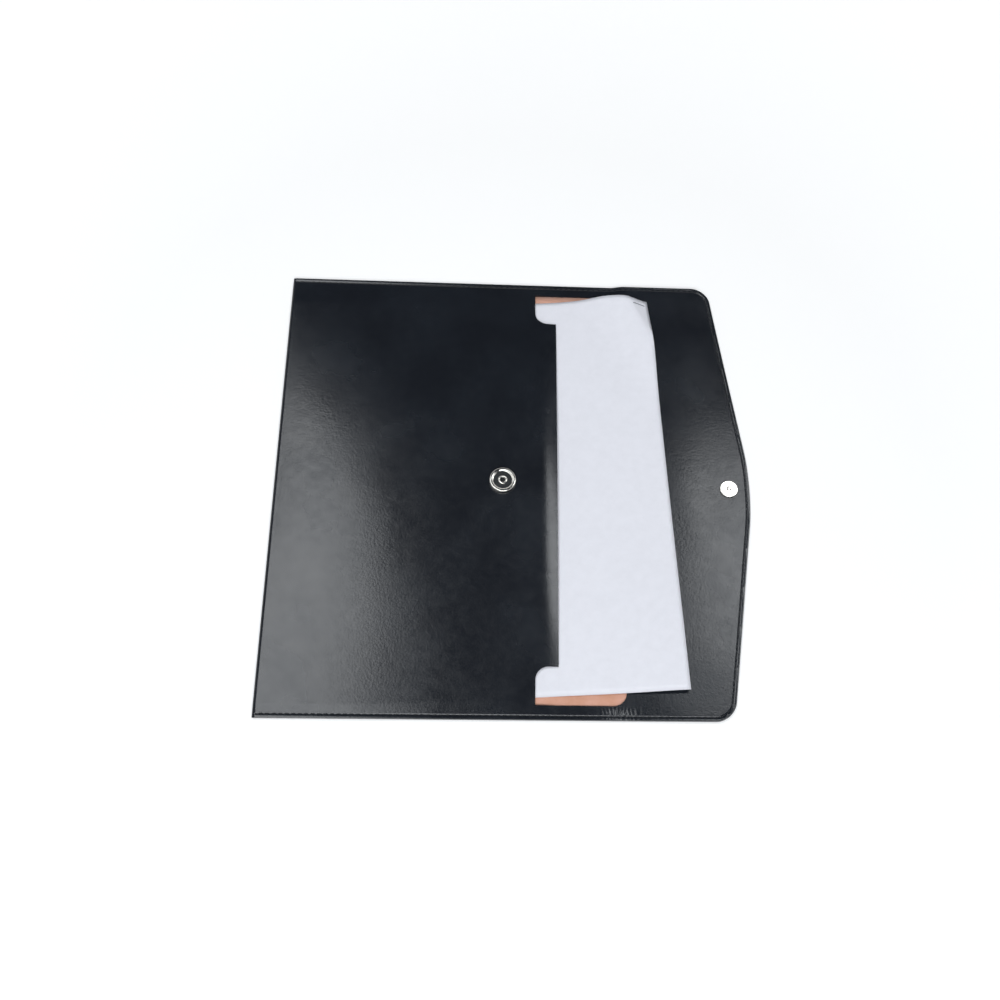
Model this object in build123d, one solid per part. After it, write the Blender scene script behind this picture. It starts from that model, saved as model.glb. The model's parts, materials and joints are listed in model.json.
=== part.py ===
from build123d import *
import math
import os

# A leather document wallet lying open: the flap is turned back flat, and a stapled set of sheets is half out of
# the pocket. Two layers of leather are sewn round the edge. The outer one is the back and the outside of the
# flap. The other is folded over at the closed end: it is the pocket's front and the flap's facing, with a window
# in it that is the pocket's mouth. A two-part magnetic snap holds the flap shut.
# Millimetres. +X runs from the closed end to the flap's tip, +Y across, +Z up from the surface it lies on.
# The origin is on the underside, at the middle of the whole wallet.

# Sheets that the wallet is made for, and how they lie in it
sheet_length = 297.0
sheet_width = 210.0
sheets_thick = 0.5
sheets_turn = 2.7           # degrees that the set lies askew
sheets_overhang = 42.9      # nearest corner of the set, past the line that the flap turns about
sheets_lift = 0.05          # set above the flap's facing
staple_length = 10.0
staple_wire = 0.5
staple_from_side = 3.0      # end of the staple from the set's outer edge
staple_from_top = 5.5
staple_play = 0.05

# Leather, lining and glue
leather = 1.1
lining = 0.8
glue = 0.03

# Pocket
end_room = 23.0             # body's depth beyond the sheets' width
pocket_play = 1.2           # sheets to the pocket's side
seam_flange = 4.0           # flat edge that is sewn
side_ramp = 5.5             # steep rise of the front beside the seam
side_shoulder = 35.0        # gentler rise from there to the flat middle
end_ramp = 10.0
end_shoulder = 50.0
sheets_clear = 0.25         # front above the sheets at the top of the ramp
pocket_clear = 4.2          # front above the sheets in the flat middle
mouth_to_fold = 42.0
notch_depth = 14.0          # step back of the mouth at each end
notch_width = 25.3
notch_round = 9.0
window_strip = 9.2          # leather left beside the window
window_past_fold = 3.0
window_corner = 9.0
lining_gap = 0.1

# Flap
flap_point = 95.2           # fold to the point where the flap's two straight edges would meet
flap_drop = 23.2            # how far behind that point the edges reach the sides
flap_tip_round = 200.0
flap_corner_round = 14.0

# Stitching
stitch_inset = 2.6
stitch_pitch = 4.0
stitch_length = 3.0
stitch_start = 3.0          # first stitch from the closed end
thread_width = 0.6
thread_height = 0.4
groove_width = 1.0
groove_depth = 0.3

# Snap, pocket half: a shell round a ring magnet, held by an eyelet
snap_to_tip = 14.8
socket_radius = 9.0
socket_height = 3.0
socket_face = 2.4           # recessed face above the leather
socket_face_radius = 6.7
socket_rim_slope = 0.6
socket_rim_round = 0.8
socket_sink = 0.15          # leather pressed flat under the shell
shell_wall = 0.4
base_thick = 0.5
magnet_radius = 8.0
magnet_hole = 3.0
eyelet_bore = 1.95
eyelet_wall = 0.4
eyelet_lip_radius = 3.1
eyelet_lip = 0.25
patch_radius = 9.0
patch_thick = 0.4

# Snap, flap half: a plate with a peg
stud_radius = 6.3
stud_height = 1.2
stud_bevel = 0.4
peg_radius = 1.7
peg_height = 1.2
peg_bevel = 0.5
shank_radius = 1.2

# Prongs and washers of both halves
prong_reach = 3.8           # prong from the snap's centre
prong_width = 3.0
prong_thick = 0.35
prong_foot = 1.8
washer_radius = 6.2
washer_thick = 0.4
snap_gap = 0.05             # closed halves apart, and loose fits within a half
slot_play = 0.1
overrun = 2.0               # cutters past what they cut

# Plan, worked out from the sizes above
turn = math.radians(sheets_turn)
sheets_across = sheet_length * math.cos(turn) + sheet_width * math.sin(turn)
brow_half = sheets_across / 2 + pocket_play
foot_half = brow_half + side_ramp
half_width = foot_half + seam_flange
flat_half = brow_half - side_shoulder
window_half = half_width - window_strip
mouth_half = window_half - notch_width
body_depth = sheet_width + end_room
flap_slope = math.atan2(flap_drop, half_width)
flap_reach = flap_point - flap_tip_round * (1 / math.cos(flap_slope) - 1)
closed_x = -(body_depth + flap_reach) / 2
fold_x = closed_x + body_depth
mouth_x = fold_x - mouth_to_fold
notch_x = mouth_x - notch_depth
window_x = fold_x + window_past_fold
snap_reach = flap_reach - snap_to_tip
socket_x = fold_x - snap_reach
stud_x = fold_x + snap_reach

# Heights
front_low = leather + glue
front_high = front_low + leather
sheets_low = front_high + sheets_lift
sheets_high = sheets_low + sheets_thick
brow_low = sheets_high + sheets_clear
pocket_low = sheets_high + pocket_clear
socket_z = pocket_low + leather - socket_sink
contact_z = socket_z + socket_face + eyelet_lip + snap_gap
stud_top = front_high + stud_height

# The flap turns about a line at the height that brings the two snap halves together, and the crease is as
# wide as the half circle that the outer leather bends to
fold_z = (contact_z + stud_top) / 2
crease = math.pi * fold_z
crease_start = fold_x - crease / 2
crease_end = fold_x + crease / 2
nose = front_high / 2
nose_x = closed_x + nose
ramp_x = nose_x + end_ramp
plateau_x = ramp_x + end_shoulder

on_base = (Align.CENTER, Align.CENTER, Align.MIN)
hang_down = (Align.CENTER, Align.CENTER, Align.MAX)


def strip(start, end, half, low, thick):
    """A flat strip across the wallet, from start to end along X."""
    return Pos((start + end) / 2, 0, low) * Box(end - start, 2 * half, thick, align=on_base)


def plate(face, low, thick):
    """A face of the plan made solid, with its underside at low."""
    return extrude(Pos(0, 0, low) * face, thick)


def disc(radius, low, thick, x):
    """A round plate on the wallet's centre line."""
    return Pos(x, 0, low) * Cylinder(radius, thick, align=on_base)


def both_sides(shape):
    """The shape and its mirror image on the other side of the centre line."""
    return [shape, mirror(shape, about=Plane.XZ)]


def flap_line(inset):
    """The flap's edge, or a line that runs inside it."""
    half = half_width - inset
    tip = fold_x + flap_point - inset / math.cos(flap_slope)
    side = tip - half * math.tan(flap_slope)
    corner = flap_corner_round - inset
    points = [(crease_end, -half), (side, -half), (tip, 0), (side, half), (crease_end, half)]
    return FilletPolyline(*points, radius=[corner, flap_tip_round - inset, corner])


def flap_face(inset):
    line = flap_line(inset)
    return make_face(line + Line(line @ 1, line @ 0))


def window_face(inset):
    """The window's end across the crease, with its two round corners."""
    length = window_x - inset - crease_start
    face = Pos(crease_start + length / 2, 0) * Rectangle(length, 2 * (window_half - inset))
    corners = face.vertices().sort_by(Axis.X)[-2:]
    return fillet(corners, window_corner - inset)


def prong_slots(x, low, high):
    """Two slots through a layer, for a snap half's prongs."""
    slot = Box(prong_thick + slot_play, prong_width + slot_play, high - low, align=on_base)
    return [Pos(x + side * prong_reach, 0, low) * slot for side in (-1, 1)]


def prongs(x, top, washer_low):
    """Two prongs from a plate's underside through the leather, bent outwards under the washer."""
    leg = Pos(0, 0, top) * Box(prong_thick, prong_width, top - washer_low + prong_thick, align=hang_down)
    foot = Box(prong_foot, prong_width, prong_thick, align=(Align.MIN, Align.CENTER, Align.MAX))
    bent = leg + Pos(-prong_thick / 2, 0, washer_low) * foot
    right = Pos(prong_reach, 0, 0) * bent
    left = mirror(right, about=Plane.YZ)
    return [Pos(x, 0, 0) * right, Pos(x, 0, 0) * left]


def washer(x, top):
    return disc(washer_radius, top - washer_thick, washer_thick, x) - prong_slots(x, top - washer_thick, top)


# Leather and lining

def back_panel():
    return strip(nose_x + glue, crease_start, half_width, 0, leather)


def fold_strip():
    return strip(crease_start, crease_end, half_width, 0, leather)


def flap_panel():
    """The flap's outer leather, thinned inside to take the stud's washer and bent prongs."""
    recess_low = front_low - washer_thick - prong_thick - snap_gap
    recess = disc(washer_radius + slot_play, recess_low, leather, stud_x)
    return plate(flap_face(0), 0, leather) - recess


def pocket_lining():
    return strip(ramp_x, crease_start, window_half - lining_gap, leather + glue, lining)


def fold_lining():
    return plate(window_face(lining_gap), leather + glue, lining)


def front_section(x, brow, flat):
    """The front leather cut across the pocket at x, its underside at the heights brow and flat."""
    middle_half = (brow_half + flat_half) / 2

    def edge(lift):
        low, knee, top = front_low + lift, brow + lift, flat + lift
        return [
            Line((-half_width, low), (-foot_half, low)),
            Line((-foot_half, low), (-brow_half, knee)),
            Bezier((-brow_half, knee), (-middle_half, top), (-flat_half, top)),
            Line((-flat_half, top), (flat_half, top)),
            Bezier((flat_half, top), (middle_half, top), (brow_half, knee)),
            Line((brow_half, knee), (foot_half, low)),
            Line((foot_half, low), (half_width, low)),
        ]

    ends = [Line((side * half_width, front_low), (side * half_width, front_high)) for side in (-1, 1)]
    across = Plane(origin=(x, 0, 0), x_dir=(0, 1, 0), z_dir=(1, 0, 0))
    return across * make_face(edge(0) + edge(leather) + ends)


def side_grooves(start, end):
    """Grooves that the stitches lie in, along both sides."""
    middle = Pos((start + end) / 2, half_width - stitch_inset, front_high)
    return both_sides(middle * Box(end - start, groove_width, 2 * groove_depth))


def closed_end():
    """The front leather where it is folded round the closed end and rises clear of the sheets."""
    sections = [front_section(nose_x, front_low, front_low), front_section(ramp_x, brow_low, brow_low)]
    fold = Pos(nose_x, 0, nose) * Rot(90, 0, 0) * Cylinder(nose, 2 * half_width)
    fold = split(fold, Plane(origin=(nose_x, 0, 0), z_dir=(-1, 0, 0)), keep=Keep.TOP)
    return loft(sections, ruled=True) + fold - side_grooves(closed_x + stitch_start, ramp_x)


def front_panel():
    """The pocket's front, crowned over the pocket, with a stepped mouth and a strip on each side of the window."""
    sections = [
        front_section(ramp_x, brow_low, brow_low),
        front_section(plateau_x, brow_low, pocket_low),
        front_section(mouth_x, brow_low, pocket_low),
    ]
    panel = loft(sections, ruled=True)
    notch_end = half_width + overrun
    notch = Pos(notch_x, mouth_half) * Rectangle(
        notch_depth + overrun, notch_end - mouth_half, align=(Align.MIN, Align.MIN))
    notch = fillet(notch.vertices().group_by(Axis.X)[0].sort_by(Axis.Y)[0], notch_round)
    panel -= both_sides(plate(notch, 0, socket_z))
    arm = Pos(notch_x, window_half, front_low) * Box(
        crease_start - notch_x, window_strip, leather, align=(Align.MIN, Align.MIN, Align.MIN))
    panel += both_sides(arm)
    panel -= disc(socket_radius + slot_play, socket_z, leather, socket_x)
    panel -= prong_slots(socket_x, pocket_low - overrun, socket_z + overrun)
    return panel - side_grooves(ramp_x, crease_start)


def fold_facing():
    """The front leather across the crease: the two strips beside the window, and the window's end."""
    facing = strip(crease_start, crease_end, half_width, front_low, leather)
    facing -= plate(window_face(0), front_low, leather)
    return facing - side_grooves(crease_start, crease_end)


def flap_facing():
    facing = plate(flap_face(0), front_low, leather)
    band = flap_face(stitch_inset - groove_width / 2) - flap_face(stitch_inset + groove_width / 2)
    facing -= plate(band, front_high - groove_depth, leather)
    facing -= prong_slots(stud_x, front_low, front_high)
    return facing


# Stitching

def stitch(place, along):
    seat = Plane(origin=(place.X, place.Y, front_high - groove_depth), x_dir=along, z_dir=(0, 0, 1))
    return seat * Box(stitch_length, thread_width, thread_height, align=on_base)


def seam(line):
    """Stitches at an even pitch along a line."""
    count = int(line.length // stitch_pitch)
    shares = [(number + 1 / 2) / count for number in range(count)]
    return [stitch(line @ share, line % share) for share in shares]


def side_seams(start, end):
    stitches = []
    for side in (-1, 1):
        y = side * (half_width - stitch_inset)
        stitches += seam(Line((start, y), (end, y)))
    return Compound(stitches)


def pocket_stitches():
    return side_seams(closed_x + stitch_start, crease_start)


def fold_stitches():
    return side_seams(crease_start, crease_end)


def flap_stitches():
    return Compound(seam(flap_line(stitch_inset)))


# Snap, pocket half

def socket_shell():
    """Pressed shell: a rounded rim round a recessed face, with a hole for the eyelet."""
    hole = eyelet_bore + eyelet_wall + snap_gap
    under = socket_face - shell_wall
    rim_inside = socket_face_radius + socket_rim_slope
    corners = [
        ((hole, under), 0), ((socket_radius - shell_wall, under), 0), ((socket_radius - shell_wall, 0), 0),
        ((socket_radius, 0), 0), ((socket_radius, socket_height), socket_rim_round),
        ((rim_inside, socket_height), 0), ((socket_face_radius, socket_face), 0),
        ((hole, socket_face), 0),
    ]
    points = [point for point, rounding in corners]
    rounds = [rounding for point, rounding in corners]
    profile = make_face(FilletPolyline(*points, radius=rounds, close=True))
    return Pos(socket_x, 0, socket_z) * revolve(Plane.XZ * profile, Axis.Z)


def socket_magnet():
    height = socket_face - shell_wall - base_thick
    low = socket_z + base_thick
    return disc(magnet_radius, low, height, socket_x) - disc(magnet_hole, low, height, socket_x)


def socket_base():
    """Steel plate under the magnet, with the two prongs that clinch it to the leather."""
    radius = socket_radius - shell_wall - snap_gap
    hole = eyelet_bore + eyelet_wall + snap_gap
    base = disc(radius, socket_z, base_thick, socket_x) - disc(hole, socket_z, base_thick, socket_x)
    return base + prongs(socket_x, socket_z, pocket_low - washer_thick)


def socket_eyelet():
    tube = disc(eyelet_bore + eyelet_wall, socket_z, socket_face, socket_x)
    lip = disc(eyelet_lip_radius, socket_z + socket_face, eyelet_lip, socket_x)
    bore = disc(eyelet_bore, socket_z, socket_height, socket_x)
    return tube + lip - bore


def socket_washer():
    return washer(socket_x, pocket_low)


def socket_patch():
    """Leather disc glued over the washer inside the pocket."""
    top = pocket_low - washer_thick - prong_thick
    return disc(patch_radius, top - patch_thick, patch_thick, socket_x)


# Snap, flap half

def stud_plate():
    body = disc(stud_radius, front_high, stud_height, stud_x)
    body = chamfer(body.edges().group_by(Axis.Z)[-1], stud_bevel)
    body -= disc(shank_radius + snap_gap, front_high, stud_height, stud_x)
    return body + prongs(stud_x, front_high, front_low - washer_thick)


def stud_peg():
    peg = disc(peg_radius, stud_top, peg_height, stud_x)
    peg = chamfer(peg.edges().group_by(Axis.Z)[-1], peg_bevel)
    return peg + disc(shank_radius, front_high, stud_height, stud_x)


def stud_washer():
    return washer(stud_x, front_low)


# Sheets: the set is turned about its nearest corner, and parted where the flap's crease starts

def on_sheets(shape):
    """Puts a shape drawn from the set's nearest corner where the set lies."""
    corner_y = sheet_width * math.sin(turn) - sheets_across / 2
    return Pos(fold_x + sheets_overhang, corner_y, 0) * Rot(0, 0, sheets_turn) * shape


def staple_legs(play):
    """The two legs where they pass through the sheets."""
    side = staple_wire + play
    leg = Box(side, side, sheets_thick, align=on_base)
    y = sheet_length - staple_from_top
    outer_x = -staple_from_side - staple_wire / 2
    inner_x = -staple_from_side - staple_length + staple_wire / 2
    return [on_sheets(Pos(x, y, sheets_low) * leg) for x in (outer_x, inner_x)]


def sheet_set():
    corner = (Align.MAX, Align.MIN, Align.MIN)
    whole = on_sheets(Pos(0, 0, sheets_low) * Box(sheet_width, sheet_length, sheets_thick, align=corner))
    return whole - staple_legs(staple_play)


def sheets():
    return split(sheet_set(), Plane(origin=(crease_start, 0, 0), z_dir=(-1, 0, 0)), keep=Keep.TOP)


def sheet_ends():
    return split(sheet_set(), Plane(origin=(crease_start, 0, 0), z_dir=(1, 0, 0)), keep=Keep.TOP)


def staple():
    middle_x = -staple_from_side - staple_length / 2
    crown = Pos(middle_x, sheet_length - staple_from_top, sheets_high) * Box(
        staple_length, staple_wire, staple_wire, align=on_base)
    return on_sheets(crown) + staple_legs(0)


pieces = [
    back_panel, fold_strip, flap_panel, pocket_lining, fold_lining,
    closed_end, front_panel, fold_facing, flap_facing,
    pocket_stitches, fold_stitches, flap_stitches,
    socket_shell, socket_magnet, socket_base, socket_eyelet, socket_washer, socket_patch,
    stud_plate, stud_peg, stud_washer,
    sheets, sheet_ends, staple,
]
os.makedirs("parts", exist_ok=True)
for piece in pieces:
    export_step(piece(), f"parts/{piece.__name__}.step")
print("flap turns about x", round(fold_x, 3), "z", round(fold_z, 3), "crease", round(crease, 3))
print("mouth x", round(mouth_x, 3), "plateau x", round(plateau_x, 3), "flat half", round(flat_half, 3))
print("sheets high", round(sheets_high, 3), "pocket low", round(pocket_low, 3))
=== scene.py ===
import json
import math

import bmesh
import bpy
from bpy.props import FloatProperty, FloatVectorProperty, IntProperty, PointerProperty
from mathutils import Matrix, Vector, noise


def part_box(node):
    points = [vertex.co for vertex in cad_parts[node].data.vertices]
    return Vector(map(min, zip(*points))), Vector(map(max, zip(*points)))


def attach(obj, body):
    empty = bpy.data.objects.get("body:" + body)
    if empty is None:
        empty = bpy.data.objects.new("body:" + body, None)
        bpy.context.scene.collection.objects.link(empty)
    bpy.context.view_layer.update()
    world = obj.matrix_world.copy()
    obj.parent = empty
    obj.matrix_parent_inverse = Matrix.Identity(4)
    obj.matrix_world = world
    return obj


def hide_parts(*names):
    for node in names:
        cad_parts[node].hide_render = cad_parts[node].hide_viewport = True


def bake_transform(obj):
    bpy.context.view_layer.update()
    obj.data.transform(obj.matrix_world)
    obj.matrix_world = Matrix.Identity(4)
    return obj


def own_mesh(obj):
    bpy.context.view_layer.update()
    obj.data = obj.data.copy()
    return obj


bl_info = {
    "name": "Document wallet",
    "version": (1, 0, 0),
    "blender": (4, 5, 0),
    "location": "3D View > Sidebar > Wallet",
    "description": "Leather document wallet lying open, with stapled sheets half out of its pocket",
    "category": "Object",
}

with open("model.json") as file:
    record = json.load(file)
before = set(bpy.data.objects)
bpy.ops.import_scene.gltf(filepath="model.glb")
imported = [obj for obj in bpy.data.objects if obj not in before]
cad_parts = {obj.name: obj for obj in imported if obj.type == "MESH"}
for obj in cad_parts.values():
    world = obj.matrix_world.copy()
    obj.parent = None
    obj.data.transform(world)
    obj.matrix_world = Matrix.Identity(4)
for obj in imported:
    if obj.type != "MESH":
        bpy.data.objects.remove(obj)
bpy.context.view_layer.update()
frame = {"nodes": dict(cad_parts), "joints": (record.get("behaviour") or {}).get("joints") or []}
MM = 0.001

# Places that the solids give
FOLD_X = next(joint["pos_m"][0] for joint in frame["joints"] if joint["name"] == "flap_fold")
CLOSED_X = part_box("closed_end")[0].x
TIP_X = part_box("flap_panel")[1].x
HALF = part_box("back_panel")[1].y
FACING_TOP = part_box("flap_facing")[1].z
CROWN_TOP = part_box("front_panel")[1].z
LINING_LOW, LINING_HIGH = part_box("pocket_lining")
SHEETS_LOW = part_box("sheets")[0].z
SHEETS_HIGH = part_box("sheets")[1].z
SHEETS_MIDDLE = (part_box("sheets")[0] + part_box("sheet_ends")[1]) / 2
SOCKET_LOW, SOCKET_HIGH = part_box("socket_shell")
SOCKET = Vector(((SOCKET_LOW.x + SOCKET_HIGH.x) / 2, 0, SOCKET_LOW.z))
STUD_LOW, STUD_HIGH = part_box("stud_plate")
STUD = Vector(((STUD_LOW.x + STUD_HIGH.x) / 2, 0, FACING_TOP))


def linear(code):
    """An sRGB hex colour as linear red, green and blue."""
    shares = [int(code[place:place + 2], 16) / 255 for place in (1, 3, 5)]
    return [share / 12.92 if share <= 0.04045 else ((share + 0.055) / 1.055) ** 2.4 for share in shares]


def length(name, description, value, least=0):
    """A length that a user may change, from millimetres."""
    return FloatProperty(
        name=name, description=description, default=value * MM, min=least * MM, unit="LENGTH")


def colour(name, description, code):
    """A colour that a user may change, from its sRGB hex code."""
    return FloatVectorProperty(
        name=name, description=description, default=linear(code), min=0, max=1, subtype="COLOR")


class WalletSizes(bpy.types.PropertyGroup):
    """Sizes that a maker would change. The solids fix the wallet's own length and width."""

    leather: length("Leather", "Thickness of each layer of leather", 1.1)
    edge_round: length("Edge round", "Rounding of the cut leather edges", 0.3)
    flap_point: length(
        "Flap point", "From the fold to where the flap's two straight edges would meet", 95.2)
    flap_drop: length("Flap drop", "How far behind that point the straight edges reach the sides", 23.2)
    tip_round: length("Tip round", "Radius of the flap's tip", 200)
    corner_round: length("Corner round", "Radius of the flap's corners", 14)
    seam_flange: length("Seam flange", "Flat edge outside the sewing", 1.2)
    near_ramp: length(
        "Near ramp", "Width over which the front rises beside the near seam, at the closed end", 7.7)
    far_ramp: length(
        "Far ramp", "Width over which the front rises beside the far seam, at the closed end", 21)
    side_rise: length("Side rise", "Height that the front gains beside the seam at the closed end", 1)
    lining: length("Lining", "Thickness of the suede lining", 0.45)
    roll: length("Roll", "Depth of the rounded fold at the closed end", 2.4)
    end_shoulder: length("End shoulder", "Length over which the front rises on to its full height", 110)
    mouth_to_fold: length(
        "Mouth to fold", "From the pocket's mouth to the line that the flap turns about", 40.9)
    lip_width: length("Lip width", "Band of the front beside the mouth that bends down", 12)
    lip_drop: length("Lip drop", "How far the mouth's edge bends down", 1.5)
    notch_depth: length("Notch depth", "Step back of the mouth at each end", 15.1)
    notch_width: length("Notch width", "Width of that step", 25.3)
    notch_round: length("Notch round", "Radius inside the step", 9)
    window_strip: length("Window strip", "Leather left beside the window", 9.2)
    window_past_fold: length("Window past fold", "How far the window reaches past the fold", 3)
    window_round: length("Window round", "Radius of the window's far corners", 9)
    bend_half: length("Bend half", "Half the width over which the leather turns when the flap shuts", 5)
    corner_lift: length("Corner lift", "How far the flap's far side stands up", 0.6)
    flap_skew: length("Flap skew", "How far the flap's far side lies outside the pocket's", 1)
    stitch_inset: length("Stitch inset", "Sewing from the edge", 2.6)
    stitch_pitch: length("Stitch pitch", "From one stitch to the next", 4, least=0.5)
    stitch_length: length("Stitch length", "Thread that shows in each stitch", 3)
    thread_width: length("Thread width", "Width of the thread", 0.6)
    groove_width: length("Groove width", "Width of the groove that the stitches lie in", 1)
    groove_depth: length("Groove depth", "Depth of that groove", 0.3)
    sheet_width: length("Sheet width", "Short side of a sheet", 210)
    sheet_length: length("Sheet length", "Long side of a sheet", 297)
    sheets_turn: FloatProperty(
        name="Sheets turn", description="How far the set of sheets lies askew",
        default=math.radians(3.0), subtype="ANGLE", unit="ROTATION")
    sheets_slip: FloatProperty(
        name="Sheets slip", description="How far the set lies off the middle, to the near side",
        default=1.3 * MM, unit="LENGTH")
    sheet_count: IntProperty(
        name="Sheets", description="Number of sheets in the set", default=5, min=1, max=8)
    fold_lift: length("Fold lift", "Height of the bent corner's ridge at the sheets' end", 7)
    staple_wire: length("Staple wire", "Thickness of the staple's wire", 0.5)
    staple_length: length("Staple length", "Length of the staple's crown", 10)


class WalletColours(bpy.types.PropertyGroup):
    """Colours of the finishes."""

    leather: colour("Leather", "Polished black leather", "#181b21")
    leather_worn: colour("Worn leather", "Leather where handling has thinned the dye", "#1f242b")
    lining: colour("Lining", "Tan suede cloth", "#ddaa96")
    lining_deep: colour("Lining shade", "Suede where the nap lies the other way", "#cf997f")
    thread: colour("Thread", "Black sewing thread", "#1b1d21")
    nickel: colour("Nickel", "Polished nickel plate", "#e2dfd9")
    steel: colour("Steel", "Zinc-plated steel", "#b9bcc0")
    wire: colour("Wire", "Galvanised staple wire", "#6f7276")
    ferrite: colour("Ferrite", "Bare ferrite magnet", "#3a3a3c")
    paper: colour("Paper", "White office paper", "#efeff6")
    floor: colour("Floor", "White studio floor", "#e8e8e8")


# Materials


def add_node(tree, kind, inputs=(), **settings):
    """Adds a node with its settings. An input takes a value, or a socket that feeds it."""
    node = tree.nodes.new(kind)
    for name, value in settings.items():
        setattr(node, name, value)
    for name, value in dict(inputs).items():
        if isinstance(value, bpy.types.NodeSocket):
            tree.links.new(value, node.inputs[name])
        else:
            node.inputs[name].default_value = value
    return node


def painted(paint, colours):
    """The material that a paint function names, made the first time that it is asked for.

    The function gets the tree and the place on the object, and gives the shader's inputs.
    """
    material = bpy.data.materials.get(paint.__name__)
    if not material:
        material = bpy.data.materials.new(paint.__name__)
        material.use_nodes = True
        tree = material.node_tree
        tree.nodes.clear()
        place = add_node(tree, "ShaderNodeTexCoord").outputs["Object"]
        shader = add_node(tree, "ShaderNodeBsdfPrincipled", paint(tree, place, colours))
        add_node(tree, "ShaderNodeOutputMaterial", {"Surface": shader.outputs[0]})
    return material


def shade(colour):
    return (*colour, 1.0)


def polished_black_cowhide(tree, place, colours):
    # Cowhide, dyed through, plated smooth and polished: blue-black, with a soft gloss that handling has
    # dulled in clouds and small scuffs, over a tight grain that breaks the edge of every reflection.
    clouds = add_node(tree, "ShaderNodeTexNoise", {
        "Vector": place, "Scale": 1 / (55 * MM), "Detail": 3.0, "Roughness": 0.55})
    scuffs = add_node(tree, "ShaderNodeTexNoise", {
        "Vector": place, "Scale": 1 / (6 * MM), "Detail": 5.0, "Roughness": 0.68})
    grain = add_node(tree, "ShaderNodeTexVoronoi", {
        "Vector": place, "Scale": 1 / (1.3 * MM), "Randomness": 1.0}, feature="SMOOTH_F1")
    worn = add_node(tree, "ShaderNodeMapRange", {
        "Value": clouds.outputs["Fac"], "From Min": 0.4, "From Max": 0.75, "To Min": 0.0, "To Max": 0.7})
    dye = add_node(tree, "ShaderNodeMix", {
        0: worn.outputs[0], 6: shade(colours.leather), 7: shade(colours.leather_worn)}, data_type="RGBA")
    dulled = add_node(tree, "ShaderNodeMath", {
        0: clouds.outputs["Fac"], 1: scuffs.outputs["Fac"]}, operation="ADD")
    gloss = add_node(tree, "ShaderNodeMapRange", {
        "Value": dulled.outputs[0], "From Min": 0.7, "From Max": 1.35, "To Min": 0.15, "To Max": 0.25})
    rubbed = add_node(tree, "ShaderNodeBump", {
        "Height": scuffs.outputs["Fac"], "Strength": 0.19, "Distance": 0.2 * MM})
    pebbled = add_node(tree, "ShaderNodeBump", {
        "Height": grain.outputs["Distance"], "Strength": 0.28, "Distance": 0.08 * MM,
        "Normal": rubbed.outputs[0]})
    return {
        "Base Color": dye.outputs[2], "Roughness": gloss.outputs[0], "Normal": pebbled.outputs[0], "IOR": 1.5}


def tan_suede_lining(tree, place, colours):
    # Split suede bonded to cloth and brushed: a flat, dry tan with no gloss, mottled where the nap lies over,
    # and paler at a low angle.
    nap = add_node(tree, "ShaderNodeTexNoise", {
        "Vector": place, "Scale": 1 / (14 * MM), "Detail": 5.0, "Roughness": 0.65})
    # Real fibres are a few hundredths of a millimetre, so these are drawn coarser to show.
    fibres = add_node(tree, "ShaderNodeTexNoise", {
        "Vector": place, "Scale": 1 / (0.7 * MM), "Detail": 3.0, "Roughness": 0.7})
    brushed = add_node(tree, "ShaderNodeMapRange", {
        "Value": nap.outputs["Fac"], "From Min": 0.35, "From Max": 0.7})
    tan = add_node(tree, "ShaderNodeMix", {
        0: brushed.outputs[0], 6: shade(colours.lining), 7: shade(colours.lining_deep)}, data_type="RGBA")
    felt = add_node(tree, "ShaderNodeBump", {
        "Height": fibres.outputs["Fac"], "Strength": 0.5, "Distance": 0.15 * MM})
    return {
        "Base Color": tan.outputs[2], "Roughness": 0.92, "Specular IOR Level": 0.2, "Sheen Weight": 0.25,
        "Sheen Roughness": 0.5, "Normal": felt.outputs[0]}


def bonded_polyester_thread(tree, place, colours):
    # Bonded polyester thread, twisted from three plies: black with a faint sheen and a fine slant.
    slanted = add_node(tree, "ShaderNodeMapping", {"Vector": place, "Rotation": (0, 0, math.radians(35))})
    plies = add_node(tree, "ShaderNodeTexWave", {
        "Vector": slanted.outputs[0], "Scale": 1 / (2 * math.pi * 0.1 * MM), "Distortion": 1.0})
    fuzz = add_node(tree, "ShaderNodeMapRange", {
        "Value": plies.outputs["Fac"], "To Min": 0.45, "To Max": 0.65})
    twist = add_node(tree, "ShaderNodeBump", {
        "Height": plies.outputs["Fac"], "Strength": 0.5, "Distance": 0.1 * MM})
    return {"Base Color": shade(colours.thread), "Roughness": fuzz.outputs[0], "Normal": twist.outputs[0]}


def polished_nickel_plate(tree, place, colours):
    # Pressed brass, barrel-polished and nickel-plated: a clear, slightly warm mirror with hairline rubs.
    drawn = add_node(tree, "ShaderNodeMapping", {"Vector": place, "Scale": (1, 6, 1)})
    rubs = add_node(tree, "ShaderNodeTexNoise", {
        "Vector": drawn.outputs[0], "Scale": 1 / (4 * MM), "Detail": 6.0, "Roughness": 0.7})
    sheen = add_node(tree, "ShaderNodeMapRange", {
        "Value": rubs.outputs["Fac"], "From Min": 0.35, "From Max": 0.75, "To Min": 0.07, "To Max": 0.2})
    return {"Base Color": shade(colours.nickel), "Metallic": 1.0, "Roughness": sheen.outputs[0]}


def zinc_plated_steel(tree, place, colours):
    # Stamped steel with a thin zinc plate: grey, half dull, with a fine rolled grain.
    rolled = add_node(tree, "ShaderNodeMapping", {"Vector": place, "Scale": (1, 12, 1)})
    streaks = add_node(tree, "ShaderNodeTexNoise", {
        "Vector": rolled.outputs[0], "Scale": 1 / (3 * MM), "Detail": 4.0})
    dull = add_node(tree, "ShaderNodeMapRange", {
        "Value": streaks.outputs["Fac"], "To Min": 0.25, "To Max": 0.5})
    return {"Base Color": shade(colours.steel), "Metallic": 1.0, "Roughness": dull.outputs[0]}


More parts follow.
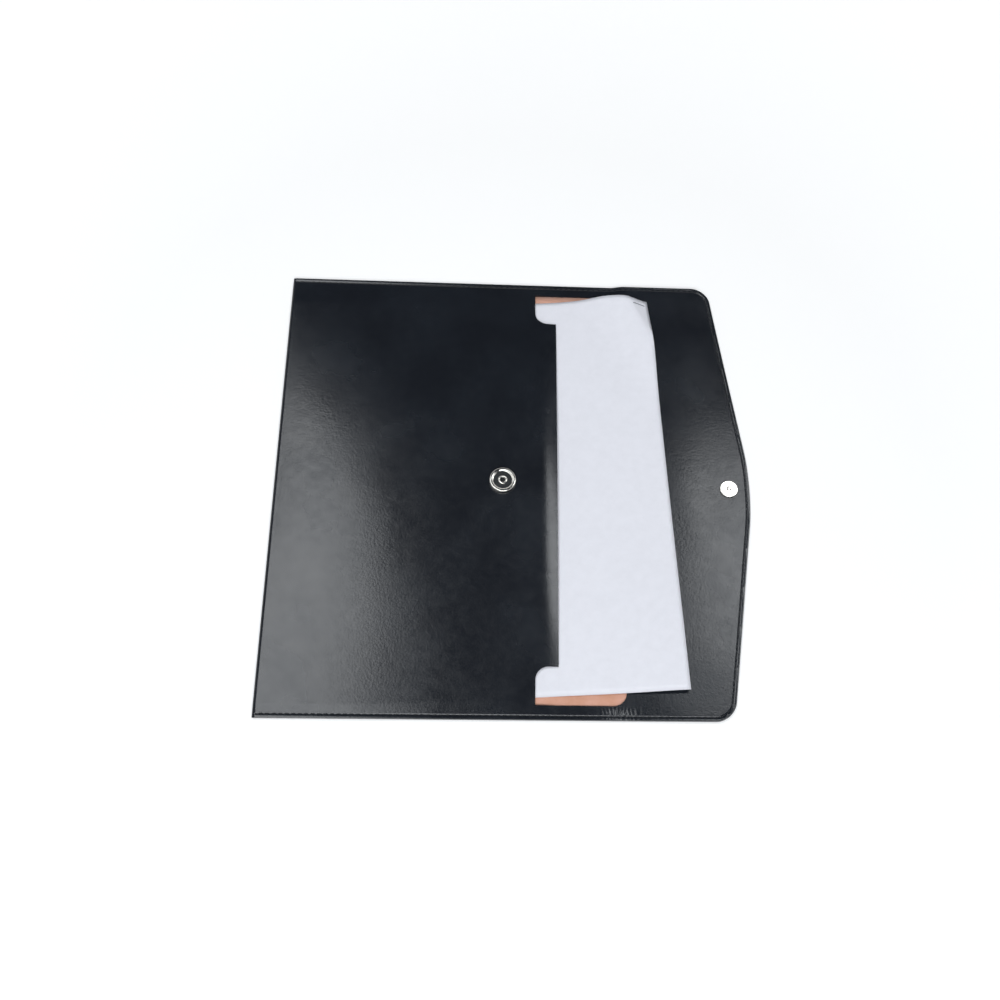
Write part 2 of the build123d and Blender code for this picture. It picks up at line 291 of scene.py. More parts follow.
def galvanised_staple_wire(tree, place, colours):
    # Galvanised wire, drawn and cut: duller and darker than the plated parts, with marks along its length.
    marks = add_node(tree, "ShaderNodeTexNoise", {"Vector": place, "Scale": 1 / (1.5 * MM), "Detail": 4.0})
    dull = add_node(tree, "ShaderNodeMapRange", {
        "Value": marks.outputs["Fac"], "To Min": 0.3, "To Max": 0.55})
    return {"Base Color": shade(colours.wire), "Metallic": 1.0, "Roughness": dull.outputs[0]}


def sintered_ferrite(tree, place, colours):
    # Pressed and sintered ferrite: charcoal grey, matt and slightly gritty.
    grit = add_node(tree, "ShaderNodeTexNoise", {"Vector": place, "Scale": 1 / (0.5 * MM), "Detail": 3.0})
    rough = add_node(tree, "ShaderNodeMapRange", {
        "Value": grit.outputs["Fac"], "To Min": 0.55, "To Max": 0.85})
    pitted = add_node(tree, "ShaderNodeBump", {
        "Height": grit.outputs["Fac"], "Strength": 0.4, "Distance": 0.05 * MM})
    return {
        "Base Color": shade(colours.ferrite), "Roughness": rough.outputs[0], "Normal": pitted.outputs[0]}


def uncoated_office_paper(tree, place, colours):
    # Uncoated wood-free paper: cool white, dead matt, with a faint cloudiness where the pulp lies thicker.
    pulp = add_node(tree, "ShaderNodeTexNoise", {
        "Vector": place, "Scale": 1 / (6 * MM), "Detail": 4.0, "Roughness": 0.6})
    # Paper's own tooth is some hundredths of a millimetre, so this is drawn coarser to show.
    tooth = add_node(tree, "ShaderNodeTexNoise", {"Vector": place, "Scale": 1 / (0.8 * MM), "Detail": 2.0})
    cloudy = add_node(tree, "ShaderNodeMapRange", {
        "Value": pulp.outputs["Fac"], "From Min": 0.3, "From Max": 0.7, "To Min": 0.96, "To Max": 1.0})
    white = add_node(tree, "ShaderNodeMix", {
        0: 1.0, 6: shade(colours.paper), 7: cloudy.outputs[0]}, data_type="RGBA", blend_type="MULTIPLY")
    felted = add_node(tree, "ShaderNodeBump", {
        "Height": tooth.outputs["Fac"], "Strength": 0.15, "Distance": 0.05 * MM})
    return {
        "Base Color": white.outputs[2], "Roughness": 0.85, "Specular IOR Level": 0.3,
        "Normal": felted.outputs[0]}


def matt_white(tree, place, colours, near_glow, far_glow):
    # Matt white paper, unrolled as floor and sweep. To the camera, in metal and through glass it stays white
    # as the light falls off with distance, and it keeps shadows.
    rays = add_node(tree, "ShaderNodeLightPath")
    seen = add_node(tree, "ShaderNodeMath", {
        0: rays.outputs["Is Camera Ray"], 1: rays.outputs["Is Glossy Ray"]}, operation="ADD")
    shown = add_node(tree, "ShaderNodeMath", {
        0: seen.outputs[0], 1: rays.outputs["Is Transmission Ray"]}, operation="ADD")
    away = add_node(tree, "ShaderNodeVectorMath", {0: place}, operation="LENGTH")
    glow = add_node(tree, "ShaderNodeMapRange", {
        "Value": away.outputs["Value"], "From Min": 0.3, "From Max": 1.3,
        "To Min": near_glow, "To Max": far_glow})
    lift = add_node(tree, "ShaderNodeMath", {0: shown.outputs[0], 1: glow.outputs[0]}, operation="MULTIPLY")
    return {
        "Base Color": shade(colours.floor), "Roughness": 0.9, "Specular IOR Level": 0.0,
        "Emission Color": (1.0, 1.0, 1.0, 1.0), "Emission Strength": lift.outputs[0]}


def matt_white_floor(tree, place, colours):
    return matt_white(tree, place, colours, near_glow=0.3, far_glow=0.75)


def matt_white_sweep(tree, place, colours):
    return matt_white(tree, place, colours, near_glow=0.7, far_glow=0.7)


# Modelling

# Points closer than this are one, and cuts closer than this to a point go through it
WELD = 0.002 * MM
CUT_SLACK = 0.001 * MM

# Spacing of the lines that the flat sheets are cut along before they are bent
GRID, FRONT_GRID, PAPER_GRID = 5 * MM, 4 * MM, 4 * MM
FOLD_PITCH, ROLL_PITCH, LIP_PITCH = 0.6 * MM, 0.35 * MM, 1 * MM
NEAR_PITCH, FAR_PITCH, BEND_PITCH = 1 * MM, 1.2 * MM, 1.7 * MM
TIP_GAP = 2 * MM

# The pocket's front: where its side ramps change width, and by how much; what it rises towards the mouth;
# how far the snap keeps it level; its long waves; the fall of the strips beside the window; and the share of
# the lip's drop at the mouth's ends
RAMPS_FROM, RAMPS_TO = -100 * MM, 14 * MM
NEAR_RAMP_GAIN, FAR_RAMP_LOSS = 5.8 * MM, 7.5 * MM
RISE_GAIN, RISE_LENGTH = 0.25 * MM, 60 * MM
SNAP_LEVEL = 26 * MM
FRONT_WAVE, FRONT_WAVE_LENGTH = 0.35 * MM, 60 * MM
STRIP_FALL = 16 * MM
LIP_ENDS_SHARE = 0.25

# Short creases across each strip where the flap has been folded, deeper on the near one
CREASE_DEPTH, CREASE_PITCH, CREASE_FADE = 0.14 * MM, 2.6 * MM, 4 * MM
CREASE_BACK, CREASE_SPREAD = 2 * MM, 10 * MM
CREASE_WANDER_SHARE, CREASE_WANDER_LENGTH = 1.2, 9 * MM
FAR_CREASE_SHARE = 0.5

# The open flap: the kink at its fold, where its far side starts to rise and to skew, its long waves, and how
# far the stud keeps it level
KINK_BACK, KINK_LENGTH = 1 * MM, 11 * MM
LIFT_FROM, SKEW_FROM = 132 * MM, 100 * MM
FLAP_WAVE, FLAP_WAVE_LENGTH, FLAP_WAVE_FADE = 0.25 * MM, 45 * MM, 60 * MM
STUD_LEVEL = 22 * MM


def clamp(share):
    return min(max(share, 0.0), 1.0)


def ease(share):
    """Runs from 0 to 1 with level ends."""
    share = clamp(share)
    return share * share * (3 - 2 * share)


def ramp_up(share, level_share=0.2):
    """Runs from 0 to 1 on a straight slope, with short level ends."""
    share = clamp(share)
    if share > 0.5:
        return 1 - ramp_up(1 - share)
    if share < level_share:
        return share * share / (2 * level_share * (1 - level_share))
    return (share - level_share / 2) / (1 - level_share)


def bump(distance, width):
    """Falls from 1 to 0 with distance, like a bell."""
    return math.exp(-(distance / width) ** 2)


def finish_piece(name, bm, material, smooth=True):
    """Turns a bmesh into an object at the origin with one material."""
    mesh = bpy.data.meshes.new(name)
    for face in bm.faces:
        face.smooth = smooth
    bm.to_mesh(mesh)
    bm.free()
    if not mesh.polygons:
        raise RuntimeError(f"{name} has no faces")
    mesh.materials.append(material)
    piece = bpy.data.objects.new(name, mesh)
    bpy.context.scene.collection.objects.link(piece)
    return piece


def draw_face(bm, corners, rounds=()):
    """A flat face from its few corners, the first of them sharp, some of the others rounded to a radius."""
    verts = [bm.verts.new((x, y, 0)) for x, y in corners]
    bm.faces.new(verts)
    for number, radius, segments in rounds:
        round_corner(bm, verts[number], radius, segments)
    return verts[0].link_faces[0]


def round_corner(bm, corner, radius, segments):
    """Rounds a corner of an outline."""
    arms = [edge.other_vert(corner).co - corner.co for edge in corner.link_edges]
    turn = math.pi - arms[0].angle(arms[1])
    bmesh.ops.bevel(
        bm, geom=[corner], offset=radius * math.tan(turn / 2), offset_type="OFFSET", segments=segments,
        profile=0.5, affect="VERTICES", material=-1)


def cut_along(bm, places, normal):
    """Cuts lines into the flat sheet through these places, at right angles to the normal."""
    for place in places:
        bmesh.ops.bisect_plane(
            bm, geom=bm.verts[:] + bm.edges[:] + bm.faces[:], dist=CUT_SLACK, plane_co=place, plane_no=normal)


def cut_grid(bm, lines_x, lines_y):
    """Cuts lines across the sheet at these places in x, then in y."""
    for lines, normal in ((lines_x, Vector((1, 0, 0))), (lines_y, Vector((0, 1, 0)))):
        cut_along(bm, [normal * line for line in lines], normal)


def steps(start, end, pitch):
    """Even places from start to end, about a pitch apart."""
    count = max(1, round((end - start) / pitch))
    return [start + (end - start) * number / count for number in range(count + 1)]


def face_up(bm):
    """Merges what coincides and turns every face of a flat sheet up."""
    bmesh.ops.remove_doubles(bm, verts=bm.verts, dist=WELD)
    bmesh.ops.dissolve_degenerate(bm, edges=bm.edges, dist=WELD)
    bmesh.ops.reverse_faces(bm, faces=[face for face in bm.faces if face.normal.z < 0])


def close_up(bm):
    """Merges what coincides and turns every face of a solid outwards."""
    bmesh.ops.remove_doubles(bm, verts=bm.verts, dist=CUT_SLACK)
    bmesh.ops.recalc_face_normals(bm, faces=bm.faces)


def new_verts(made):
    return [part for part in made if isinstance(part, bmesh.types.BMVert)]


def new_edges(made):
    return [part for part in made if isinstance(part, bmesh.types.BMEdge)]


def wallet_face(bm, sizes, start):
    """The wallet's outline from start to the flap's tip, with its round corners."""
    tip = FOLD_X + sizes.flap_point
    side = tip - sizes.flap_drop
    corners = [(start, -HALF), (side, -HALF), (tip, 0), (side, HALF), (start, HALF)]
    rounds = [(1, sizes.corner_round, 12), (2, sizes.tip_round, 16), (3, sizes.corner_round, 12)]
    return draw_face(bm, corners, rounds)


def inset(bm, face, width):
    bmesh.ops.inset_region(bm, faces=[face], thickness=width, use_even_offset=True, use_boundary=True)


def add_groove(bm, face, sizes):
    """Insets the stitch groove's lines and marks its floor 1 in a layer, which new cuts take over."""
    groove = bm.verts.layers.float.new("groove")
    edge_line, inner_line = 0.6 * MM, 0.4 * MM
    slope = sizes.groove_width / 4
    inset(bm, face, edge_line)
    inset(bm, face, sizes.stitch_inset - sizes.groove_width / 2 - edge_line)
    inset(bm, face, slope)
    for vert in face.verts:
        vert[groove] = 1
    inset(bm, face, sizes.groove_width - 2 * slope)
    inset(bm, face, slope)
    for vert in face.verts:
        vert[groove] = 0
    inset(bm, face, inner_line)
    return groove


def grooved(x, depth):
    """The groove's depth, which runs out before the closed end."""
    plain, fade = 1 * MM, 2 * MM
    return depth * ease((x - CLOSED_X - plain) / fade)


def wander(x, y, length, seed):
    """A gentle unevenness from -1 to 1, with waves of the given length."""
    return noise.noise(Vector((x / length, y / length, seed)))


def mouth_place(sizes):
    return FOLD_X - sizes.mouth_to_fold


def window_half(sizes):
    return HALF - sizes.window_strip


def front_top(sizes, x, y):
    """Height of the front leather's upper side: sewn flat at the edge, crowned over the pocket."""
    slack = 0.5 * MM
    past_mouth = x - mouth_place(sizes)
    past_window = abs(y) - window_half(sizes)
    foot = HALF - sizes.seam_flange
    # The sheets lie askew, so the front has less room to rise beside the near seam's closed end.
    along = clamp((x - RAMPS_FROM) / (RAMPS_TO - RAMPS_FROM))
    ramp = sizes.near_ramp + NEAR_RAMP_GAIN * along if y < 0 else sizes.far_ramp - FAR_RAMP_LOSS * along
    rise = sizes.side_rise + RISE_GAIN * ease((x + RISE_LENGTH) / RISE_LENGTH)
    crown = max(0, 1 - (y / foot) ** 2) ** 1.5
    climb = clamp((x - CLOSED_X - sizes.roll) / sizes.end_shoulder)
    uneven = 1 - bump(math.hypot(x - SOCKET.x, y), SNAP_LEVEL)
    swell = CROWN_TOP - FACING_TOP - rise + FRONT_WAVE * uneven * wander(x, y, FRONT_WAVE_LENGTH, 3.0)
    height = rise * ramp_up((foot - abs(y)) / ramp) + swell * crown * (1 - (1 - climb) ** 2)
    if past_window > -slack:
        height *= 1 - ease((past_mouth + sizes.notch_depth) / STRIP_FALL)
    elif past_mouth > 2 * slack:
        height = 0
    else:
        lip = clamp((past_mouth + sizes.lip_width) / sizes.lip_width)
        height -= sizes.lip_drop * lip ** 2 * (LIP_ENDS_SHARE + (1 - LIP_ENDS_SHARE) * crown)
    beside = ease(past_window / CREASE_FADE) * (1 if y < 0 else FAR_CREASE_SHARE)
    folded = bump(x - FOLD_X + CREASE_BACK, CREASE_SPREAD)
    stray = CREASE_WANDER_SHARE * wander(x, y, CREASE_WANDER_LENGTH, 11.0)
    crease = math.sin(2 * math.pi * (x / CREASE_PITCH + stray))
    return FACING_TOP + height + CREASE_DEPTH * crease * beside * folded


def past_fold(x):
    return ease((x - FOLD_X + KINK_BACK) / KINK_LENGTH)


def flap_lift(sizes, x, y):
    """How far the open flap stands off the table: kinked up along its far side, its face uneven."""
    out = ease((x - FOLD_X) / FLAP_WAVE_FADE)
    far = past_fold(x) * ease((y - LIFT_FROM) / (HALF - LIFT_FROM))
    uneven = 1 - bump(math.hypot(x - STUD.x, y), STUD_LEVEL)
    wave = FLAP_WAVE * (1 + wander(x, y, FLAP_WAVE_LENGTH, 7.0))
    return sizes.corner_lift * far + wave * out * uneven


def lay(sizes, point):
    """Moves a point of the flat leather to where it lies."""
    x, y, z = point
    out = sizes.flap_skew * past_fold(x) * ease((y - SKEW_FROM) / (HALF - SKEW_FROM))
    return Vector((x, y + out, z + flap_lift(sizes, x, y)))


def roll_under(sizes, point):
    """Rolls the front leather down round the closed end."""
    x, y, z = point
    turn_x = CLOSED_X + sizes.roll
    if x >= turn_x:
        return point
    angle = math.pi * (turn_x - x) / roll_length(sizes)
    low = z - front_top(sizes, turn_x, y)
    half = front_top(sizes, turn_x, y) / 2
    across = (sizes.roll + low) * math.sin(angle)
    return Vector((turn_x - across, y, half + (half + low) * math.cos(angle)))


def roll_length(sizes):
    """Leather that the rounded fold takes up."""
    return math.pi * (sizes.roll + FACING_TOP / 2 + sizes.side_rise / 2) / 2


def thicken(piece, thickness):
    """Gives a sheet its thickness behind its modelled side."""
    solid = piece.modifiers.new("Thickness", "SOLIDIFY")
    solid.thickness = thickness
    solid.offset = -1
    return solid


def leather_layer(name, bm, scene):
    """Turns a bmesh into a layer of leather with its thickness and with broken edges."""
    piece = finish_piece(name, bm, painted(polished_black_cowhide, scene.wallet_colours))
    thicken(piece, scene.wallet_sizes.leather).use_quality_normals = True
    edge = piece.modifiers.new("Edges", "BEVEL")
    edge.width = scene.wallet_sizes.edge_round
    edge.segments = 2
    edge.profile = 0.5
    edge.limit_method = "ANGLE"
    edge.angle_limit = math.radians(62)
    edge.harden_normals = True
    return piece


def bend_at_fold(piece):
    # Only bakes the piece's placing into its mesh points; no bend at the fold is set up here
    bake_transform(piece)


def fold_cuts(sizes):
    """Close lines where the leather turns when the flap shuts."""
    return steps(FOLD_X - 4 * sizes.bend_half, FOLD_X + 3 * sizes.bend_half, FOLD_PITCH)


class WALLET_OT_outer_leather(bpy.types.Operator):
    """Make the back and the outside of the flap from one sheet of leather"""

    bl_idname = "wallet.outer_leather"
    bl_label = "Outer leather"

    def execute(self, context):
        sizes = context.scene.wallet_sizes
        bm = bmesh.new()
        roll_gap, edge_band = 0.1 * MM, 4 * MM
        start = CLOSED_X + sizes.roll + roll_gap
        face = wallet_face(bm, sizes, start)
        groove = add_groove(bm, face, sizes)
        cut_grid(
            bm, steps(start + edge_band, TIP_X - TIP_GAP, GRID) + fold_cuts(sizes),
            steps(-HALF + edge_band, HALF - edge_band, GRID))
        face_up(bm)
        for vert in bm.verts:
            vert.co.z = grooved(vert.co.x, sizes.groove_depth) * vert[groove]
            vert.co = lay(sizes, vert.co)
        bmesh.ops.reverse_faces(bm, faces=bm.faces)
        piece = leather_layer("outer_leather", bm, context.scene)
        bend_at_fold(piece)
        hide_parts("back_panel", "fold_strip", "flap_panel")
        return {"FINISHED"}


class WALLET_OT_front_leather(bpy.types.Operator):
    """Make the pocket's front and the flap's facing from one sheet, folded over at the closed end"""

    bl_idname = "wallet.front_leather"
    bl_label = "Front leather"

    def execute(self, context):
        sizes = context.scene.wallet_sizes
        mouth_x = mouth_place(sizes)
        notch_x = mouth_x - sizes.notch_depth
        window_x = FOLD_X + sizes.window_past_fold
        side = window_half(sizes)
        mouth = side - sizes.notch_width
        bm = bmesh.new()
        turn_x = CLOSED_X + sizes.roll
        start = turn_x - roll_length(sizes)
        face = wallet_face(bm, sizes, start)
        groove = add_groove(bm, face, sizes)
        rim = face.edges[:]
        bmesh.ops.delete(bm, geom=[face], context="FACES_ONLY")
        corners = [
            (notch_x, -side), (window_x, -side), (window_x, side), (notch_x, side),
            (notch_x, mouth), (mouth_x, mouth), (mouth_x, -mouth), (notch_x, -mouth)]
        window = draw_face(bm, corners, [
            (1, sizes.window_round, 10), (2, sizes.window_round, 10),
            (4, sizes.notch_round, 10), (7, sizes.notch_round, 10)])
        hole = window.edges[:]
        bmesh.ops.delete(bm, geom=[window], context="FACES_ONLY")
        bmesh.ops.triangle_fill(bm, use_beauty=True, use_dissolve=True, edges=rim + hole, normal=(0, 0, 1))
        lines = steps(start, turn_x, ROLL_PITCH) + steps(turn_x + TIP_GAP, TIP_X - TIP_GAP, FRONT_GRID)
        lines += fold_cuts(sizes) + steps(mouth_x - sizes.lip_width, mouth_x - LIP_PITCH / 2, LIP_PITCH)
        seam, near_band = HALF - sizes.stitch_inset - sizes.groove_width, 12 * MM
        near = steps(-seam, -seam + near_band, NEAR_PITCH)
        far = steps(seam - sizes.far_ramp, seam, FAR_PITCH)
        cut_grid(bm, lines, steps(near[-1], far[0], FRONT_GRID) + near[:-1] + far[1:])
        face_up(bm)
        for vert in bm.verts:
            x, y, z = vert.co
            z = front_top(sizes, x, y) - grooved(x, sizes.groove_depth) * vert[groove]
            vert.co = roll_under(sizes, lay(sizes, (x, y, z)))
        piece = leather_layer("front_leather", bm, context.scene)
        bend_at_fold(piece)
        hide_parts("closed_end", "front_panel", "fold_facing", "flap_facing")
        return {"FINISHED"}


class WALLET_OT_lining(bpy.types.Operator):
    """Make the tan lining on the inside of the back"""

    bl_idname = "wallet.lining"
    bl_label = "Lining"

    def execute(self, context):
        sizes = context.scene.wallet_sizes
        start, half = LINING_LOW.x, LINING_HIGH.y
        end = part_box("fold_lining")[1].x
        bm = bmesh.new()
        corners = [(start, -half), (end, -half), (end, half), (start, half)]
        draw_face(bm, corners, [(1, sizes.window_round, 10), (2, sizes.window_round, 10)])
        end_band = 1 * MM
        cut_grid(
            bm, steps(start + GRID, end - end_band, GRID) + fold_cuts(sizes),
            steps(-half + GRID, half - GRID, GRID))
        face_up(bm)
        for vert in bm.verts:
            vert.co.z = LINING_LOW.z + sizes.lining
            vert.co = lay(sizes, vert.co)
        piece = finish_piece("lining", bm, painted(tan_suede_lining, context.scene.wallet_colours))
        thicken(piece, sizes.lining)
        bend_at_fold(piece)
        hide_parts("pocket_lining", "fold_lining")
        return {"FINISHED"}


class WALLET_OT_stitching(bpy.types.Operator):
    """Sew round the sides and the flap, on both faces"""

    bl_idname = "wallet.stitching"
    bl_label = "Stitching"

    def execute(self, context):
        sizes = context.scene.wallet_sizes
        plan = bmesh.new()
        face = wallet_face(plan, sizes, CLOSED_X)
        inset(plan, face, sizes.stitch_inset)
        path = [loop.vert.co.copy() for loop in face.loops]
        plan.free()
        first = min(range(len(path)), key=lambda number: path[number].x + path[number].y)
        path = path[first:] + path[:first]
        bm = bmesh.new()
        # How far along its stretch of the path the next stitch comes
        ahead = 3 * MM
        for start, end in zip(path, path[1:]):
            run = end - start
            while ahead < run.length:
                place = start + run * ahead / run.length
                ahead += sizes.stitch_pitch
                self.add_stitch(bm, sizes, place, math.atan2(run.y, run.x))
            ahead -= run.length
        thread = painted(bonded_polyester_thread, context.scene.wallet_colours)
        piece = finish_piece("stitches", bm, thread)
        bend_at_fold(piece)
        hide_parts("pocket_stitches", "fold_stitches", "flap_stitches")
        return {"FINISHED"}

    def add_stitch(self, bm, sizes, place, heading):
        """One stitch in the front's groove, and the one under it in the back's."""
        half_height, back_sink, slant = 0.2 * MM, 0.12 * MM, math.radians(4)
        turned = Matrix.Rotation(heading + slant, 4, "Z")
        shape = Matrix.Diagonal((sizes.stitch_length / 2, sizes.thread_width / 2, half_height, 1))
        lying = Matrix.Rotation(math.pi / 2, 4, "Y")
        top = front_top(sizes, place.x, place.y)
        for height in (top - sizes.groove_depth + half_height, sizes.groove_depth - back_sink):
            seat = Matrix.Translation(lay(sizes, (place.x, place.y, height)))
            bmesh.ops.create_uvsphere(
                bm, u_segments=6, v_segments=5, radius=1, matrix=seat @ turned @ shape @ lying)


def spin_profile(bm, points, centre, closed, sides=96):
    """Spins a profile of radius and height round an upright axis."""
    verts = [bm.verts.new((centre.x + radius, centre.y, centre.z + height)) for radius, height in points]
    pairs = list(zip(verts, verts[1:]))
    if closed:
        pairs.append((verts[-1], verts[0]))
    edges = [bm.edges.new(pair) for pair in pairs]
    bmesh.ops.spin(
        bm, geom=verts + edges, cent=centre, axis=(0, 0, 1), angle=2 * math.pi, steps=sides, use_merge=True)
    close_up(bm)


def round_ring(bm, centre, radius, height, width, segments):
    """Rounds the ring-shaped edge at this radius and height."""
    slack = 0.02 * MM
    ring = []
    for edge in bm.edges:
        offsets = [vert.co - centre for vert in edge.verts]
        if all(abs(offset.xy.length - radius) + abs(offset.z - height) < slack for offset in offsets):
            ring.append(edge)
    if not ring:
        raise RuntimeError(f"no ring at radius {radius} and height {height}")
    bmesh.ops.bevel(
        bm, geom=ring, offset=width, offset_type="OFFSET", segments=segments, profile=0.5, affect="EDGES",
        material=-1)


# Height of the floor of the pocket half's dish over its seat
DISH = 2.4 * MM


class WALLET_OT_snap(bpy.types.Operator):
    """Turn the visible parts of the magnetic snap's two halves"""

    bl_idname = "wallet.snap"
    bl_label = "Snap"

    def execute(self, context):
        nickel = painted(polished_nickel_plate, context.scene.wallet_colours)
        self.make_socket(nickel)
        self.make_eyelet(nickel)
        self.make_stud(nickel)
        return {"FINISHED"}

    def make_socket(self, nickel):
        radius = (SOCKET_HIGH.x - SOCKET_LOW.x) / 2
        height = SOCKET_HIGH.z - SOCKET_LOW.z
        wall, hole, rim, floor = 0.4 * MM, 2.4 * MM, 7.3 * MM, 6.7 * MM
        flat_outer, flat_inner = 6.2 * MM, 2.5 * MM
        bm = bmesh.new()
        spin_profile(bm, [
            (hole, DISH - wall), (radius - wall, DISH - wall), (radius - wall, 0), (radius, 0),
            (radius, height), (rim, height), (floor, DISH), (flat_outer, DISH), (flat_inner, DISH),
            (hole, DISH)], SOCKET, closed=True)
        round_ring(bm, SOCKET, radius, height, width=0.8 * MM, segments=5)
        round_ring(bm, SOCKET, rim, height, width=0.35 * MM, segments=4)
        round_ring(bm, SOCKET, floor, DISH, width=0.3 * MM, segments=3)
        piece = finish_piece("snap_socket", bm, nickel)
        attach(piece, "pocket")
        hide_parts("socket_shell")

    def make_eyelet(self, nickel):
        top = DISH + 0.25 * MM
        bore, tube, flange = 1.95 * MM, 2.35 * MM, 3.1 * MM
        top_inner, top_outer = 2.25 * MM, 2.75 * MM
        bm = bmesh.new()
        spin_profile(bm, [
            (bore, 0), (tube, 0), (tube, DISH), (flange, DISH),
            (top_outer, top), (top_inner, top), (bore, DISH)], SOCKET, closed=True, sides=64)
        for radius in (top_outer, top_inner):
            round_ring(bm, SOCKET, radius, top, width=0.3 * MM, segments=4)
        piece = finish_piece("snap_eyelet", bm, nickel)
        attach(piece, "pocket")
        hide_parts("socket_eyelet")

    def make_stud(self, nickel):
        radius, height = (STUD_HIGH.x - STUD_LOW.x) / 2, STUD_HIGH.z - FACING_TOP
        peg, peg_top = 1.7 * MM, height + 1.2 * MM
        flat_outer, flat_inner = radius - 0.7 * MM, peg + 0.3 * MM
        bm = bmesh.new()
        spin_profile(bm, [
            (0, 0), (radius, 0), (radius, height), (flat_outer, height), (flat_inner, height), (peg, height),
            (peg, peg_top), (0, peg_top)], STUD, closed=False)
        round_ring(bm, STUD, radius, height, width=0.5 * MM, segments=5)
        round_ring(bm, STUD, peg, peg_top, width=1 * MM, segments=7)
        piece = finish_piece("snap_stud", bm, nickel)
        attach(piece, "flap")
        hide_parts("stud_plate", "stud_peg")


# The ridge that the sheets' far outer corner is bent down along: where it meets the two edges, the width over
# which the sheets bend and their slope beyond it, how much the ridge falls to the outer edge and how soon it
# fades past that, and how far in from it the sheets still stand up
RIDGE_IN, RIDGE_DOWN = 19.3 * MM, 40 * MM
BEND_SOFT, BEND_SLOPE = 5 * MM, math.radians(29)
RIDGE_FALL_SHARE, RIDGE_FADE, RIDGE_REACH = 0.45, 34 * MM, 28 * MM

# Beside the ridge the far edge bows out, the near outer corner curls up, and inside the pocket the set sinks
# on to the lining
BOW, BOW_IN, BOW_WIDTH, BOW_DEPTH = 3.1 * MM, 38 * MM, 18 * MM, 50 * MM
CURL, CURL_WIDTH, CURL_LENGTH = 3.6 * MM, 36 * MM, 90 * MM
SUNK_TO, SINK_LENGTH, SINK_GAP = 14 * MM, 24 * MM, 0.02 * MM

# How far a sheet strays from those over it, and its thickness in its layer
STRAY_X, STRAY_Y = 0.35 * MM, 0.5 * MM
PAPER_SHARE = 0.95


def ridge_ends(sizes):
    """Ends of the ridge that the sheets' far outer corner is bent down along."""
    return Vector((-RIDGE_IN, sizes.sheet_length)), Vector((0, sizes.sheet_length - RIDGE_DOWN))


def paper_point(sizes, u, v, height):
    """A point of the set of sheets: before it is bent, u runs out and v away from its near outer corner."""
    start, end = ridge_ends(sizes)
    along = (end - start).normalized()
    across = Vector((-along.y, along.x))
    offset = Vector((u, v)) - start
    run, past = offset.dot(along), offset.dot(across)
    ridge = (end - start).length
    crest = sizes.fold_lift * (1 - RIDGE_FALL_SHARE * clamp(run / ridge))
    crest *= bump(max(run - ridge, 0), RIDGE_FADE)
    if past > 0:
        # The slope grows over the ridge's soft width, then keeps steady.
        bent = min(past, BEND_SOFT)
        drawn = (1 - math.cos(BEND_SLOPE)) * (bent ** 3 / (3 * BEND_SOFT ** 2) + past - bent)
        u -= across.x * drawn
        v -= across.y * drawn
        lift = max(crest - math.sin(BEND_SLOPE) * (bent ** 2 / (2 * BEND_SOFT) + past - bent), 0)
    else:
        lift = crest * (1 - ease(-past / RIDGE_REACH))
    v += BOW * bump(u + BOW_IN, BOW_WIDTH) * ease(1 - (sizes.sheet_length - v) / BOW_DEPTH)
    lift += CURL * bump(u, CURL_WIDTH) * bump(v, CURL_LENGTH)
    from_middle = Vector((u + sizes.sheet_width / 2, v - sizes.sheet_length / 2))
    turned = Matrix.Rotation(sizes.sheets_turn, 2) @ from_middle
    x, y = turned.x + SHEETS_MIDDLE.x, turned.y + SHEETS_MIDDLE.y - sizes.sheets_slip
    sunk = SHEETS_LOW - LINING_LOW.z - sizes.lining - SINK_GAP
    lift -= sunk * (1 - ease((x - SUNK_TO) / SINK_LENGTH))
    return Vector((x, y, SHEETS_LOW + flap_lift(sizes, x, y) + lift + height))


def slip_back(piece):
    """Hangs a piece on the document's body and gives it a mesh of its own."""
    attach(piece, "document")
    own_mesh(piece)


class WALLET_OT_sheets(bpy.types.Operator):
    """Lay the set of plain sheets half out of the pocket, its far corner bent down"""

    bl_idname = "wallet.sheets"
    bl_label = "Sheets"

    def execute(self, context):
        sizes = context.scene.wallet_sizes
        paper = painted(uncoated_office_paper, context.scene.wallet_colours)
        layer = (SHEETS_HIGH - SHEETS_LOW) / sizes.sheet_count
        width, length, edge_band = sizes.sheet_width, sizes.sheet_length, 3 * MM
        start, end = ridge_ends(sizes)
        across = Vector((start.y - end.y, end.x - start.x, 0)).normalized()
        bends = [end.to_3d() + across * offset for offset in steps(0, BEND_SOFT, BEND_PITCH)]
        for number in range(sizes.sheet_count):
            top = number == sizes.sheet_count - 1
            stray = Vector((STRAY_X * wander(number, 0.3, 1, 1.7), STRAY_Y * wander(number, 0.6, 1, 5.1), 0))
            bm = bmesh.new()
            draw_face(bm, [(-width, 0), (0, 0), (0, length), (-width, length)])
            cut_along(bm, bends, across)
            cut_grid(
                bm, steps(-width + PAPER_GRID, -edge_band, PAPER_GRID),
                steps(PAPER_GRID, length - edge_band, PAPER_GRID))
            face_up(bm)
            for vert in bm.verts:
                u, v, _ = vert.co
                vert.co = paper_point(sizes, u, v, layer * (number + 1))
                if not top:
                    vert.co += stray
            piece = finish_piece(f"sheet_{number + 1}", bm, paper)
            thicken(piece, PAPER_SHARE * layer)
            slip_back(piece)
            if top:
                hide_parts("sheets", "sheet_ends")
        return {"FINISHED"}


